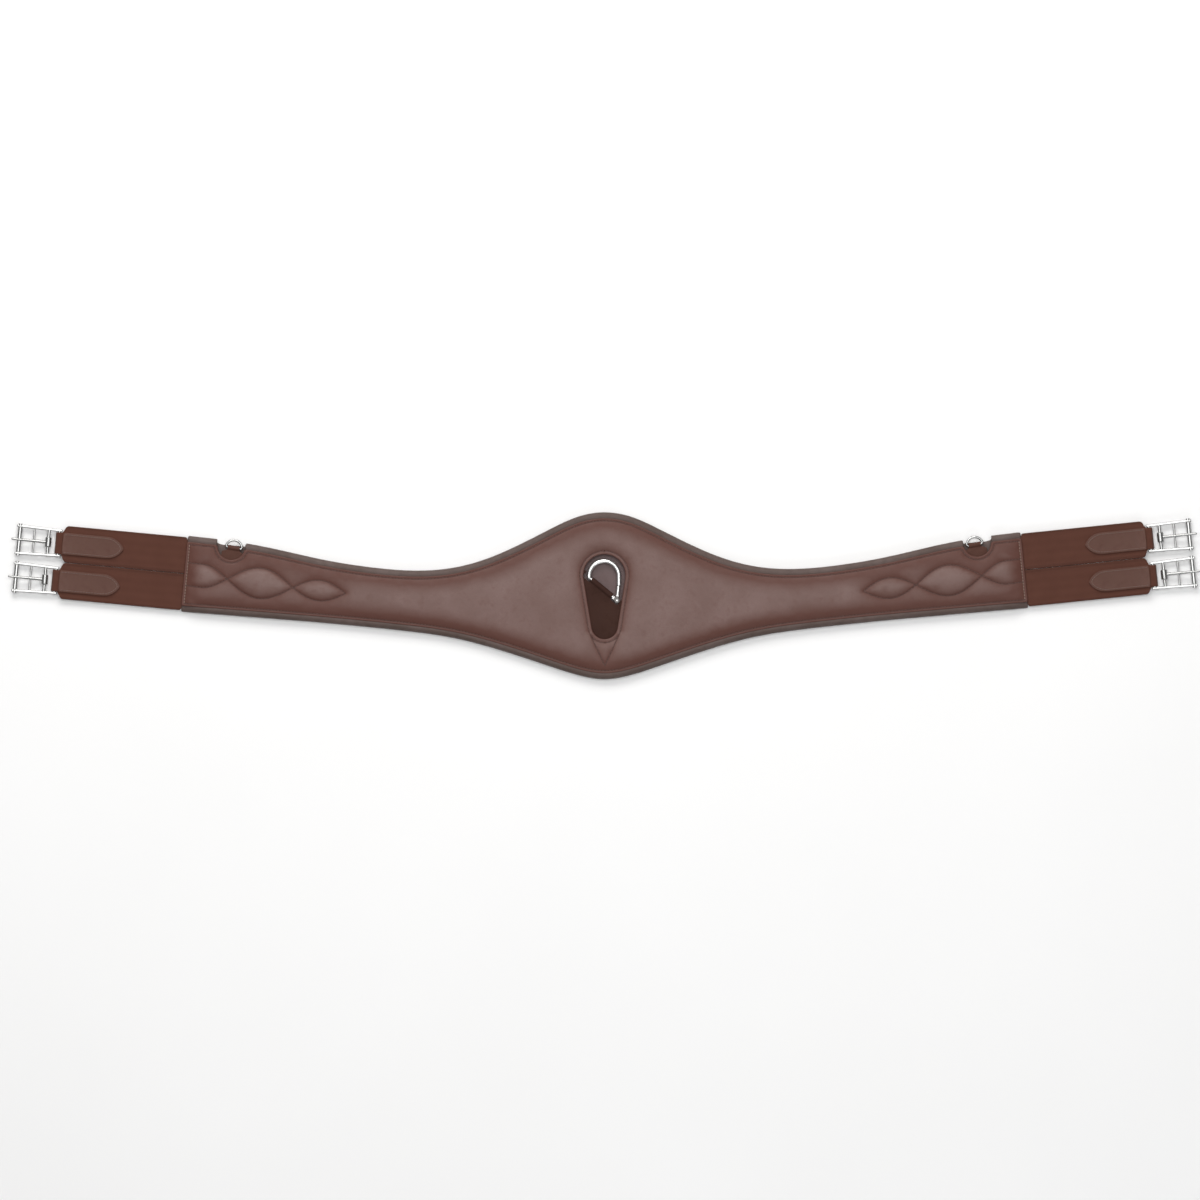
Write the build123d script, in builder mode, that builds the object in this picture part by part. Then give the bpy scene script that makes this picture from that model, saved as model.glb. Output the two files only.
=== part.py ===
"""Saddle girth: a shaped belly guard with two arms, four elastic straps and four roller buckles.

The girth lies flat with its outer face up. X runs along it, Y points to its front edge
and Z up. The origin is on the underside, below the middle of the whole girth.
Millimetres.
"""

import os
from math import atan2, cos, degrees, radians, sin, tan

from build123d import *

os.makedirs("parts", exist_ok=True)

# ---- driving dimensions ----
girth_length = 1270.0  # tongue tip to tongue tip, a 50 inch girth
strap_tilt = 5.6  # degrees: each pair of straps rises towards the front edge
strap_pitch = 40.0  # between the centre lines of a pair of straps
pad_end_y = 25.4  # middle of each pad end, from the X axis

# the body's layers, from the underside up
lining_floor = 1.5
foam_top = 7.2
webbing_top = 8.0
leather_top = 10.5
rim_width = 6.5  # rolled rim that shows outside the leather panel
rim_round = 2.5

# right half of the body's outline, from the middle to past its end
front_edge = [
    (0, 89),
    (30, 83.8),
    (60, 70.2),
    (100, 50.5),
    (140, 35.4),
    (190, 27.9),
    (240, 30.5),
    (300, 40),
    (360, 53.5),
    (410, 62),
    (475, 69.2),
]
rear_edge = [
    (0, -89),
    (30, -84.1),
    (60, -74.5),
    (100, -61.1),
    (160, -44.6),
    (220, -35.8),
    (300, -27.7),
    (380, -20.9),
    (475, -13.2),
]
front_end_slope = 0.11
rear_end_slope = 0.08
inset_steps = 16

# where the arms fold at the narrow necks
fold_x = 215.0
fold_gap = 0.4

# egg-shaped window: the hull of two circles
window_top_y = 21.6
window_top_radius = 22.5
window_bottom_y = -32.4
window_bottom_radius = 13.9
pit_margin = 7.0  # the foam's pit is this much wider than the window
backing_thickness = 1.0

# snap hook, its bar held in the diagonal fold of the hook strap
hook_centre = (-0.5, 21.1)
hook_radius = 15.8
hook_rod_radius = 2.4
hook_z = 6.2
hook_nose_y = 10.9
bar_left = (-16.3, 19.6)
bar_right = (13.2, -5.0)
bar_radius = 1.6
strap_leather = 1.2
bar_clearance = 0.15
hook_strap_bottom = 4.8
foot_notch = 3.3  # from each foot's middle to the side of its notch
leaning_notch = 6.2  # the left foot leans away from the strap's middle
notch_depth = 3.7
notch_length = 20.0
fork_radius = 2.6
fork_height = 4.0
fork_slot = 1.8
fork_length = 5.0
fork_web_start = 3.9
fork_side_gap = 1.6  # beside the fork, in the strap's notch
slot_runout = 1.0  # the fork's slot is cut this far past it
eye_radius = 2.4
eye_thickness = 1.5
gate_radius = 1.9
gate_neck_width = 2.4
gate_rod_start = 5.5
gate_gap = 0.6
gate_lean = 0.4  # the gate points this far inside the nose's middle
gate_neck_overlap = 1.0  # the flat neck runs this far into the round rod
gate_tip_round = 1.0
gate_pin_radius = 0.9
gate_bore_clearance = 0.05

# side D-rings in round cut-outs of the front edge
cutout_x = 397.0
cutout_y = 54.3
cutout_radius = 14.5
ring_x = 394.5
ring_y = 52.5
ring_z = 5.0
ring_tilt = 10.0
ring_radius = 8.4
ring_wire_radius = 1.3
ring_corner = 2.0
edge_notch_width = 24.0
edge_notch_start = 1.6  # from the ring's bar towards the edge
tab_leather = 1.1
tab_fold_width = 13.2
tab_root_width = 24.0
tab_root_length = 26.0

# elastic straps; distances along each strap run from the pad's end
elastic_width = 38.1  # 1.5 inch girth web
elastic_thickness = 1.6
elastic_middle_z = 4.5
elastic_root_length = 20.0
elastic_gap = 0.3
stretch_end = 66.5
return_start = 95.0
loop_start = 124.0
loop_shoulder = 129.5
loop_shoulder_end = 131.5
loop_width = 23.0
loop_clearance = 0.15

tab_start = 67.0
tab_end = 134.0
tab_thickness = 1.8
tab_tip_length = 17.0
tab_tip_slope = 0.45  # along over across, where the two curves of the tip meet

# buckle, for 1 inch billets
frame_z = 3.7
rear_bar = 136.5
rear_bar_radius = 1.75
tongue_bar = 147.5
tongue_bar_radius = 1.6
middle_bar = 163.0
middle_bar_radius = 1.0
middle_bar_drop = 0.75  # it sits low, clear of the prong
front_bar = 178.5
front_bar_radius = 1.3
front_bar_head_radius = 2.1
front_bar_head = 0.9
rail_start = 133.4
rail_end = 182.0
rail_rear_half = 14.8
rail_front_half = 16.2
rail_width = 3.0
rail_height = 3.0
rail_round = 1.0
roller_radius = 2.5
roller_length = 25.4
running_clearance = 0.05

hub_radius = 3.4
hub_length = 11.0
hub_round = 1.4
prong_root_radius = 1.8
prong_tip_radius = 1.15
prong_gap = 0.3
tongue_tip = 186.5

# ---- worked-out values ----
tilt = radians(strap_tilt)
pad_end_x = girth_length / 2 - tongue_tip * cos(tilt) - strap_pitch / 2 * sin(tilt)
bar_vector = Vector(*bar_right) - Vector(*bar_left)
bar_length = bar_vector.length
bar_loop_radius = bar_radius + bar_clearance + strap_leather
loop_inner = rear_bar_radius + loop_clearance
loop_outer = loop_inner + elastic_thickness
elastic_bottom = elastic_middle_z - elastic_thickness / 2
elastic_top = elastic_middle_z + elastic_thickness / 2
return_bottom = elastic_bottom - elastic_thickness
prong_rise = roller_radius + prong_gap + prong_tip_radius
prong_angle = degrees(atan2(prong_rise, front_bar - tongue_bar))

sides = {"left": -1, "right": 1}
rows = {"front": 1, "rear": -1}

hook_plane = Plane(origin=(*bar_left, hook_z), x_dir=bar_vector, z_dir=(0, 0, 1))
fork_plane = Plane(origin=(*bar_right, hook_z), x_dir=bar_vector, z_dir=(0, 0, 1))


def finish(builder, name):
    """Label a finished sub-part and write it."""
    builder.part.label = name
    export_step(builder.part, f"parts/{name}.step")


def strap_plane(side, row):
    """The frame of one strap: X outward along it from the pad's end, Z up, on the ground."""
    x = sides[side] * (pad_end_x - rows[row] * strap_pitch / 2 * sin(tilt))
    y = pad_end_y + rows[row] * strap_pitch / 2 * cos(tilt)
    return Plane(origin=(x, y, 0), x_dir=(sides[side] * cos(tilt), sin(tilt), 0), z_dir=(0, 0, 1))


def profile_plane(side, row):
    """The upright plane through one strap's centre line, drawn as (along, up)."""
    base = strap_plane(side, row)
    return Plane(origin=base.origin, x_dir=base.x_dir, z_dir=base.x_dir.cross(Vector(0, 0, 1)))


def ring_plane(side):
    """The frame of one side ring: X along the edge, Y outward, at the ring's bar."""
    slope = radians(ring_tilt)
    return Plane(
        origin=(sides[side] * ring_x, ring_y, ring_z),
        x_dir=(cos(slope), sides[side] * sin(slope), 0),
        z_dir=(0, 0, 1),
    )


def moved_in(points, end_slope, inset):
    """The points of one edge curve, each moved square to the curve by an inset."""
    with BuildLine(mode=Mode.PRIVATE) as edge:
        curve = Spline(*points, tangents=[(1, 0), (1, end_slope)])
    moved = []
    for step in range(inset_steps + 1):
        share = step / inset_steps
        direction = curve % share
        moved.append(curve @ share + Vector(-direction.Y, direction.X) * inset)
    return moved


def body_sketch(inset):
    """The body's outline, moved in by an inset along its edges but not at its two ends."""
    front_points, rear_points = front_edge, rear_edge
    if inset:
        front_points = moved_in(front_edge, front_end_slope, -inset)
        rear_points = moved_in(rear_edge, rear_end_slope, inset)
    reach = 2 * front_edge[0][1]
    with BuildSketch() as outline:
        with BuildLine():
            front = Spline(*front_points, tangents=[(1, 0), (1, front_end_slope)])
            rear = Spline(*rear_points, tangents=[(1, 0), (1, rear_end_slope)])
            Line(front @ 1, rear @ 1)
            mirror(about=Plane.YZ)
        make_face()
        with BuildLine():
            top = (pad_end_x - (reach - pad_end_y) * tan(tilt), reach)
            bottom = (pad_end_x + (reach + pad_end_y) * tan(tilt), -reach)
            Polyline((0, reach), top, bottom, (0, -reach))
            mirror(about=Plane.YZ)
        make_face(mode=Mode.INTERSECT)
    return outline.sketch


def window_sketch(margin):
    """The egg-shaped window, widened by a margin."""
    with BuildSketch() as egg:
        with Locations((0, window_top_y)):
            Circle(window_top_radius + margin)
        with Locations((0, window_bottom_y)):
            Circle(window_bottom_radius + margin)
        make_hull()
    return egg.sketch


def write_sections(whole, name):
    """Cut a layer of the body at the two necks and write its three sections."""
    near, far = fold_x - fold_gap / 2, fold_x + fold_gap / 2
    with BuildPart() as guard:
        add(whole.part)
        split(bisect_by=Plane.YZ.offset(near), keep=Keep.BOTTOM)
        split(bisect_by=Plane.YZ.offset(-near), keep=Keep.TOP)
    finish(guard, f"guard_{name}")
    with BuildPart() as right_arm:
        add(whole.part)
        split(bisect_by=Plane.YZ.offset(far), keep=Keep.TOP)
    finish(right_arm, f"right_arm_{name}")
    with BuildPart() as left_arm:
        add(whole.part)
        split(bisect_by=Plane.YZ.offset(-far), keep=Keep.BOTTOM)
    finish(left_arm, f"left_arm_{name}")


# ---- pieces sewn into the body, which lining and foam are shaped round ----
sewn_in = []


def build_ring_tab(side):
    """Leather folded round the ring's bar, spreading to a root sewn under the panel."""
    plane = ring_plane(side)
    fold_radius = ring_wire_radius + bar_clearance + tab_leather
    with BuildPart() as ring_tab:
        with BuildSketch(plane.offset(-tab_leather)):
            with BuildLine():
                half_root, half_fold = tab_root_width / 2, tab_fold_width / 2
                Polyline(
                    (-half_fold, 0),
                    (-half_fold, -fold_radius),
                    (-half_root, -2 * fold_radius),
                    (-half_root, -tab_root_length),
                    (half_root, -tab_root_length),
                    (half_root, -2 * fold_radius),
                    (half_fold, -fold_radius),
                    (half_fold, 0),
                    close=True,
                )
            make_face()
        extrude(amount=2 * tab_leather)
        with BuildSketch(Plane(origin=plane.origin, z_dir=plane.x_dir)):
            Circle(fold_radius)
        extrude(amount=tab_fold_width / 2, both=True)
        with BuildSketch(Plane(origin=plane.origin, z_dir=plane.x_dir)):
            Circle(ring_wire_radius + bar_clearance)
        extrude(amount=tab_fold_width, both=True, mode=Mode.SUBTRACT)
    sewn_in.append(ring_tab.part)
    finish(ring_tab, f"{side}_ring_tab")


def build_elastic_root(side, row):
    """The end of the elastic web, sewn into the body between foam and webbing."""
    with BuildPart() as root:
        with BuildSketch(strap_plane(side, row).offset(elastic_bottom)):
            with Locations((-elastic_root_length / 2, 0)):
                Rectangle(elastic_root_length, elastic_width)
        extrude(amount=elastic_thickness)
    sewn_in.append(root.part)
    finish(root, f"{side}_{row}_elastic_root")


for side in sides:
    build_ring_tab(side)
    for row in rows:
        build_elastic_root(side, row)

# ---- the body's four layers ----
with BuildPart() as round_cutters:
    with BuildSketch(Plane.XY.offset(lining_floor)):
        with Locations((-cutout_x, cutout_y), (cutout_x, cutout_y)):
            Circle(cutout_radius)
    extrude(amount=leather_top)

with BuildPart() as lining:
    with BuildSketch():
        add(body_sketch(0))
    extrude(amount=webbing_top)
    fillet(lining.faces().sort_by(Axis.Z)[-1].edges(), radius=rim_round)
    with BuildSketch(Plane.XY.offset(lining_floor)):
        add(body_sketch(rim_width))
    extrude(amount=webbing_top, mode=Mode.SUBTRACT)
    add(round_cutters.part, mode=Mode.SUBTRACT)
    for piece in sewn_in:
        add(piece, mode=Mode.SUBTRACT)
    for side in sides:
        with BuildSketch(ring_plane(side).offset(-ring_z)):
            with Locations((0, edge_notch_start + cutout_radius)):
                Rectangle(edge_notch_width, 2 * cutout_radius)
        extrude(amount=leather_top, mode=Mode.SUBTRACT)
write_sections(lining, "lining")

with BuildPart() as foam:
    with BuildSketch(Plane.XY.offset(lining_floor)):
        add(body_sketch(rim_width))
        add(window_sketch(pit_margin), mode=Mode.SUBTRACT)
    extrude(amount=foam_top - lining_floor)
    add(round_cutters.part, mode=Mode.SUBTRACT)
    for piece in sewn_in:
        add(piece, mode=Mode.SUBTRACT)
write_sections(foam, "foam")

with BuildPart() as webbing:
    with BuildSketch(Plane.XY.offset(foam_top)):
        add(body_sketch(rim_width))
        add(window_sketch(0), mode=Mode.SUBTRACT)
    extrude(amount=webbing_top - foam_top)
    add(round_cutters.part, mode=Mode.SUBTRACT)
write_sections(webbing, "webbing")

with BuildPart() as leather:
    with BuildSketch(Plane.XY.offset(webbing_top)):
        add(body_sketch(rim_width))
        add(window_sketch(0), mode=Mode.SUBTRACT)
    extrude(amount=leather_top - webbing_top)
    add(round_cutters.part, mode=Mode.SUBTRACT)
write_sections(leather, "outer_leather")

with BuildPart() as window_backing:
    with BuildSketch(Plane.XY.offset(lining_floor)):
        add(window_sketch(pit_margin))
    extrude(amount=backing_thickness)
finish(window_backing, "window_backing")

# ---- hook strap: a flat patch under the window's lower part, folded round the hook's bar ----
fork_notch = fork_length + fork_side_gap
with BuildPart() as hook_strap:
    with BuildSketch(Plane.XY.offset(hook_strap_bottom)):
        add(window_sketch(pit_margin))
    extrude(amount=foam_top - hook_strap_bottom)
    beyond_fold = Plane(
        origin=hook_plane.origin + hook_plane.y_dir * bar_loop_radius,
        z_dir=hook_plane.y_dir,
    )
    split(bisect_by=beyond_fold, keep=Keep.BOTTOM)
    with BuildSketch(hook_plane.offset(-hook_z)):
        notch_middle = notch_length / 2 - notch_depth
        with Locations(((foot_notch - leaning_notch) / 2, notch_middle)):
            Rectangle(foot_notch + leaning_notch, notch_length)
        with Locations((bar_length + (foot_notch - fork_notch) / 2, notch_middle)):
            Rectangle(fork_notch + foot_notch, notch_length)
    extrude(amount=leather_top, mode=Mode.SUBTRACT)
    loop_length = bar_length - foot_notch - fork_notch
    loop_from = hook_plane.origin + hook_plane.x_dir * foot_notch
    with BuildSketch(Plane(origin=loop_from, z_dir=hook_plane.x_dir)):
        Circle(bar_loop_radius)
    extrude(amount=loop_length)
    with BuildSketch(Plane(origin=loop_from, z_dir=hook_plane.x_dir)):
        Circle(bar_radius + bar_clearance)
    extrude(amount=loop_length, mode=Mode.SUBTRACT)
finish(hook_strap, "hook_strap")

# ---- snap hook ----
with BuildPart() as snap_hook:
    with BuildLine(Plane.XY.offset(hook_z)) as hook_line:
        nose = Line(
            (hook_centre[0] + hook_radius, hook_nose_y),
            (hook_centre[0] + hook_radius, hook_centre[1]),
        )
        crown = CenterArc(hook_centre, hook_radius, 0, 180)
        Line(crown @ 1, bar_left)
    with BuildSketch(Plane(origin=nose @ 0, z_dir=nose % 0)):
        Circle(hook_rod_radius)
    sweep(path=hook_line.line)
    with Locations((*bar_left, hook_z)):
        Sphere(hook_rod_radius)
    with BuildSketch(Plane(origin=hook_plane.origin, z_dir=hook_plane.x_dir)):
        Circle(bar_radius)
    extrude(amount=bar_length - fork_web_start)
    with BuildSketch(fork_plane.offset(-fork_height / 2)):
        Circle(fork_radius)
        with Locations((-fork_length / 2, 0)):
            Rectangle(fork_length, 2 * bar_radius)
    extrude(amount=fork_height)
    with BuildSketch(fork_plane.offset(-fork_slot / 2)):
        slot_end = fork_radius + slot_runout
        with Locations(((slot_end - fork_web_start) / 2, 0)):
            Rectangle(slot_end + fork_web_start, 2 * slot_end)
    extrude(amount=fork_slot, mode=Mode.SUBTRACT)
    with BuildSketch(fork_plane.offset(-fork_height)):
        Circle(gate_pin_radius)
    extrude(amount=2 * fork_height, mode=Mode.SUBTRACT)
finish(snap_hook, "snap_hook")

with BuildPart() as gate_pin:
    with BuildSketch(fork_plane.offset(-fork_height / 2)):
        Circle(gate_pin_radius)
    extrude(amount=fork_height)
finish(gate_pin, "gate_pin")

gate_end = Vector(hook_centre[0] + hook_radius - gate_lean, hook_nose_y - gate_gap)
gate_vector = gate_end - Vector(*bar_right)
gate_plane = Plane(
    origin=fork_plane.origin, x_dir=(gate_vector.X, gate_vector.Y, 0), z_dir=(0, 0, 1)
)
with BuildPart() as snap_gate:
    with BuildSketch(gate_plane.offset(-eye_thickness / 2)):
        Circle(eye_radius)
        neck_length = gate_rod_start + gate_neck_overlap
        with Locations((neck_length / 2, 0)):
            Rectangle(neck_length, gate_neck_width)
        Circle(gate_pin_radius + gate_bore_clearance, mode=Mode.SUBTRACT)
    extrude(amount=eye_thickness)
    rod_start = gate_plane.origin + gate_plane.x_dir * gate_rod_start
    with BuildSketch(Plane(origin=rod_start, z_dir=gate_plane.x_dir)):
        Circle(gate_radius)
    extrude(amount=gate_vector.length - gate_rod_start)
    gate_end_face = snap_gate.faces().sort_by(Axis(gate_plane.origin, gate_plane.x_dir))[-1]
    fillet(gate_end_face.edges(), radius=gate_tip_round)
finish(snap_gate, "snap_gate")


# ---- side rings ----
def build_ring(side):
    """A D-ring: a straight bar inside the tab and a half-round bow outside it."""
    plane = ring_plane(side)
    with BuildPart() as ring:
        bar_half = ring_radius - ring_corner
        with BuildLine(plane) as bow_line:
            corner = RadiusArc((bar_half, 0), (ring_radius, ring_corner), -ring_corner)
            bow = ThreePointArc(corner @ 1, (0, ring_radius), (-ring_radius, ring_corner))
            RadiusArc(bow @ 1, (-bar_half, 0), -ring_corner)
        with BuildSketch(Plane(origin=corner @ 0, z_dir=plane.x_dir)):
            Circle(ring_wire_radius)
        sweep(path=bow_line.line)
        with BuildSketch(Plane(origin=plane.origin, z_dir=plane.x_dir)):
            Circle(ring_wire_radius)
        extrude(amount=bar_half, both=True)
    finish(ring, f"{side}_d_ring")


for side in sides:
    build_ring(side)


# ---- straps ----
def build_elastic(side, row):
    """The free, stretching length of one elastic web."""
    with BuildPart() as elastic:
        with BuildSketch(strap_plane(side, row).offset(elastic_bottom)):
            with Locations(((elastic_gap + stretch_end) / 2, 0)):
                Rectangle(stretch_end - elastic_gap, elastic_width)
        extrude(amount=elastic_thickness)
    finish(elastic, f"{side}_{row}_elastic")


def build_elastic_loop(side, row):
    """The sewn end of the web: it narrows, wraps the buckle's rear bar and returns below."""
    with BuildPart() as loop:
        with BuildSketch(profile_plane(side, row)):
            with BuildLine():
                Polyline(
                    (stretch_end, elastic_top),
                    (loop_start, elastic_top),
                    (rear_bar, frame_z + loop_outer),
                    (rear_bar, frame_z - loop_outer),
                    (loop_start, return_bottom),
                    (return_start, return_bottom),
                    (return_start, elastic_bottom),
                    (stretch_end, elastic_bottom),
                    close=True,
                )
            make_face()
            with Locations((rear_bar, frame_z)):
                Circle(loop_outer)
                Circle(loop_inner, mode=Mode.SUBTRACT)
            with BuildLine(mode=Mode.PRIVATE) as gusset:
                Polyline(
                    (loop_start + elastic_thickness, elastic_bottom),
                    (rear_bar, frame_z + loop_inner),
                    (rear_bar, frame_z - loop_inner),
                    close=True,
                )
            make_face(gusset.edges(), mode=Mode.SUBTRACT)
        extrude(amount=elastic_width / 2, both=True)
        with BuildSketch(strap_plane(side, row)):
            for edge in (-1, 1):
                with BuildLine():
                    Polyline(
                        (loop_shoulder, edge * elastic_width),
                        (loop_shoulder, edge * elastic_width / 2),
                        (loop_shoulder_end, edge * loop_width / 2),
                        (tongue_bar, edge * loop_width / 2),
                        (tongue_bar, edge * elastic_width),
                        close=True,
                    )
                make_face()
        extrude(amount=leather_top, mode=Mode.SUBTRACT)
    finish(loop, f"{side}_{row}_elastic_loop")


def build_leather_tab(side, row):
    """The leather tab on top of the web, pointed towards the pad."""
    rise = (frame_z + loop_outer - elastic_top) / (rear_bar - loop_start)
    end_height = elastic_top + rise * (tab_end - loop_start)
    with BuildPart() as tab:
        with BuildSketch(profile_plane(side, row)):
            with BuildLine():
                Polyline(
                    (tab_start, elastic_top),
                    (loop_start, elastic_top),
                    (tab_end, end_height),
                    (tab_end, end_height + tab_thickness),
                    (loop_start, elastic_top + tab_thickness),
                    (tab_start, elastic_top + tab_thickness),
                    close=True,
                )
            make_face()
        extrude(amount=loop_width / 2, both=True)
        with BuildSketch(strap_plane(side, row)):
            with BuildLine():
                half = loop_width / 2
                shoulder = tab_start + tab_tip_length
                Line((tab_end, -half), (tab_end, half))
                Line((tab_end, half), (shoulder, half))
                Spline((shoulder, half), (tab_start, 0), tangents=[(-1, 0), (-tab_tip_slope, -1)])
                Spline((tab_start, 0), (shoulder, -half), tangents=[(tab_tip_slope, -1), (1, 0)])
                Line((shoulder, -half), (tab_end, -half))
            make_face()
        extrude(amount=leather_top, mode=Mode.INTERSECT)
    finish(tab, f"{side}_{row}_leather_tab")


def bar_plane(base, along, start):
    """A plane square to a cross bar, at a place along the strap and across it."""
    origin = base.origin + base.x_dir * along + base.y_dir * start + Vector(0, 0, frame_z)
    return Plane(origin=origin, z_dir=base.y_dir)


def rail_half_width(along):
    """Half the frame's outer width at a place along the strap."""
    share = (along - rail_start) / (rail_end - rail_start)
    return rail_rear_half + share * (rail_front_half - rail_rear_half)


def build_frame(side, row):
    """Two rails joined by four round bars: rear, tongue, middle and front."""
    base = strap_plane(side, row)
    with BuildPart() as frame:
        with BuildSketch(base.offset(frame_z - rail_height / 2)):
            for edge in (-1, 1):
                with BuildLine():
                    Polyline(
                        (rail_start, edge * rail_rear_half),
                        (rail_end, edge * rail_front_half),
                        (rail_end, edge * (rail_front_half - rail_width)),
                        (rail_start, edge * (rail_rear_half - rail_width)),
                        close=True,
                    )
                make_face()
        extrude(amount=rail_height)
        fillet(frame.edges().filter_by(GeomType.LINE), rail_round)
        for along, radius, drop in (
            (rear_bar, rear_bar_radius, 0),
            (tongue_bar, tongue_bar_radius, 0),
            (middle_bar, middle_bar_radius, middle_bar_drop),
            (front_bar, front_bar_radius, 0),
        ):
            reach = rail_half_width(along) - rail_width / 2
            end = bar_plane(base, along, -reach)
            with BuildSketch(Plane(origin=end.origin - Vector(0, 0, drop), z_dir=end.z_dir)):
                Circle(radius)
            extrude(amount=2 * reach)
        head_reach = rail_half_width(front_bar) + front_bar_head
        head_length = front_bar_head + rail_width / 2
        for start in (-head_reach, head_reach - head_length):
            with BuildSketch(bar_plane(base, front_bar, start)):
                Circle(front_bar_head_radius)
            extrude(amount=head_length)
    finish(frame, f"{side}_{row}_buckle_frame")


def build_roller(side, row):
    """The tube that turns on the front bar."""
    base = strap_plane(side, row)
    with BuildPart() as roller:
        with BuildSketch(bar_plane(base, front_bar, -roller_length / 2)):
            Circle(roller_radius)
            Circle(front_bar_radius + running_clearance, mode=Mode.SUBTRACT)
        extrude(amount=roller_length)
    finish(roller, f"{side}_{row}_buckle_roller")


def build_tongue(side, row):
    """A barrel hub on the tongue bar and a tapered prong that lies over the roller."""
    base = strap_plane(side, row)
    with BuildPart() as tongue:
        with BuildSketch(bar_plane(base, tongue_bar, -hub_length / 2)):
            Circle(hub_radius)
        extrude(amount=hub_length)
        fillet(tongue.edges(), hub_round)
        rise = radians(prong_angle)
        direction = base.x_dir * cos(rise) + Vector(0, 0, sin(rise))
        hub_centre = base.origin + base.x_dir * tongue_bar + Vector(0, 0, frame_z)
        prong_length = (tongue_tip - tongue_bar - prong_tip_radius) / cos(rise)
        with BuildSketch(Plane(origin=hub_centre, z_dir=direction)):
            Circle(prong_root_radius)
        with BuildSketch(Plane(origin=hub_centre + direction * prong_length, z_dir=direction)):
            Circle(prong_tip_radius)
        loft()
        with Locations(hub_centre + direction * prong_length):
            Sphere(prong_tip_radius)
        with BuildSketch(bar_plane(base, tongue_bar, -hub_length)):
            Circle(tongue_bar_radius + running_clearance)
        extrude(amount=2 * hub_length, mode=Mode.SUBTRACT)
    finish(tongue, f"{side}_{row}_buckle_tongue")


for side in sides:
    for row in rows:
        build_elastic(side, row)
        build_elastic_loop(side, row)
        build_leather_tab(side, row)
        build_frame(side, row)
        build_roller(side, row)
        build_tongue(side, row)
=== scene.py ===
from math import asin, atan2, cos, pi, radians, sin

import bmesh
import bpy
import numpy as np
from mathutils import Matrix, Vector, noise
from mathutils.bvhtree import BVHTree
from mathutils.geometry import delaunay_2d_cdt


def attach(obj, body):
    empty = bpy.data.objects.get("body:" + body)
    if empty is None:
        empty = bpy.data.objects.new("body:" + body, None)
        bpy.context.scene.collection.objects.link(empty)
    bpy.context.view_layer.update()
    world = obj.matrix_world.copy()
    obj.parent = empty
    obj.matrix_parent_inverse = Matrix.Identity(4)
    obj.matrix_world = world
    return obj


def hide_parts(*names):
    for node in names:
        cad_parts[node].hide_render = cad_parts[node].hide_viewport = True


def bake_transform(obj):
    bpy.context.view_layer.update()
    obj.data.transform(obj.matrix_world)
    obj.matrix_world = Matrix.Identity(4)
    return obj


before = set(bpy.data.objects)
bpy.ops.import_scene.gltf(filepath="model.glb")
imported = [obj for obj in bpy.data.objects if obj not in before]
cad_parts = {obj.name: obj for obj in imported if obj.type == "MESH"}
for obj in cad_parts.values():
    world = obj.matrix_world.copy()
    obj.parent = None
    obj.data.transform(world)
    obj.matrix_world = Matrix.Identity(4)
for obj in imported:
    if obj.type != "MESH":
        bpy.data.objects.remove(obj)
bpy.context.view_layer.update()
rng = np.random.default_rng(7)

# ---------------------------------------------------------------- sizes, in millimetres
MM = 0.001
girth_length = 1270.0
tilt = radians(5.6)
strap_pitch = 40.0
tongue_tip = 186.5
pad_end = np.array(
    [girth_length / 2 - tongue_tip * cos(tilt) - strap_pitch / 2 * sin(tilt), 25.4]
)
along = np.array([cos(tilt), sin(tilt)])
across = np.array([-sin(tilt), cos(tilt)])

front_edge = [(0, 89), (30, 83.8), (60, 70.2), (100, 50.5), (140, 35.4), (190, 27.9)]
front_edge += [(240, 30.5), (300, 40), (360, 53.5), (410, 62), (475, 69.2)]
rear_edge = [(0, -89), (30, -84.1), (60, -74.5), (100, -61.1), (160, -44.6)]
rear_edge += [(220, -35.8), (300, -27.7), (380, -20.9), (475, -13.2)]
front_end_slope = 0.11
rear_end_slope = 0.08
rim_width = 6.5
stitch_inset = 9.2
end_stitch = 3.0

window_top = (21.6, 22.5)  # centre Y, radius
window_bottom = (-32.4, 13.9)
window_stitch = 3.7
vee_tip_y = -74.4

cutout = np.array([397.0, 54.3])
cutout_radius = 14.5
cutout_stitch = 3.3
edge_notch_half = 12.0
edge_notch_y = 54.1

lobe_tip = np.array([275.5, 3.6])
lobe_cross_far = np.array([331.8, 10.1])
lobe_cross_near = np.array([401.6, 19.5])
lobe_half_heights = (11.0, 16.3, 12.3)
lobe_full_at = 0.62  # the open lobe is at its widest from this share of its length on

# the outer leather's heights above the floor
seam_heights = {"front": 8.9, "rear": 8.9, "window": 9.4, "vee": 10.3, "lobe_a": 9.7, "lobe_b": 9.7}
end_seam_height = 8.0
end_hem_height = 7.5
padded_height = 12.0
lobe_rise = 2.3
outside_seam_height = 9.8
window_lip_height = 10.2
end_lip_height = 7.4
skin_reach = 7.2  # how far a seam pulls the padding down beside it
on_seam = 0.25  # points nearer to a seam than this are held by it
skin_waves = ((0.34, 46, 3.1), (0.16, 15, 8.4))  # height, length, seed
wavy_from, wavy_over = 9.2, 2.4  # only the padded heights are wavy
gather_half, gather_pitch = 34, 9.5  # the gathers along the end seam

leather_thickness = 2.1
groove_half = 1.1
groove_depth = 0.5
relief_floor, relief_span = 8.6, 3.0  # the heights that the leather's shading runs over
seam_shade = 0.5  # painted shade: how much darker the leather is painted towards its front and rear seams
seam_shade_width = 24
window_lift = 0.35  # painted lighter: the painted shade is kept lighter beside the window than the leather's slope would make it
window_lift_width = 9
panel_grid = 3.2
line_step = 2.4

rim_reach = 9.6  # the rim's profile, from its outer edge inwards
rim_height = 8.5
rim_flatten = 0.36  # how much lower the rim gets at the pad's end
floor_inset = 3.5
floor_thickness = 1.5
bowl_margin = 7.5

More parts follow.
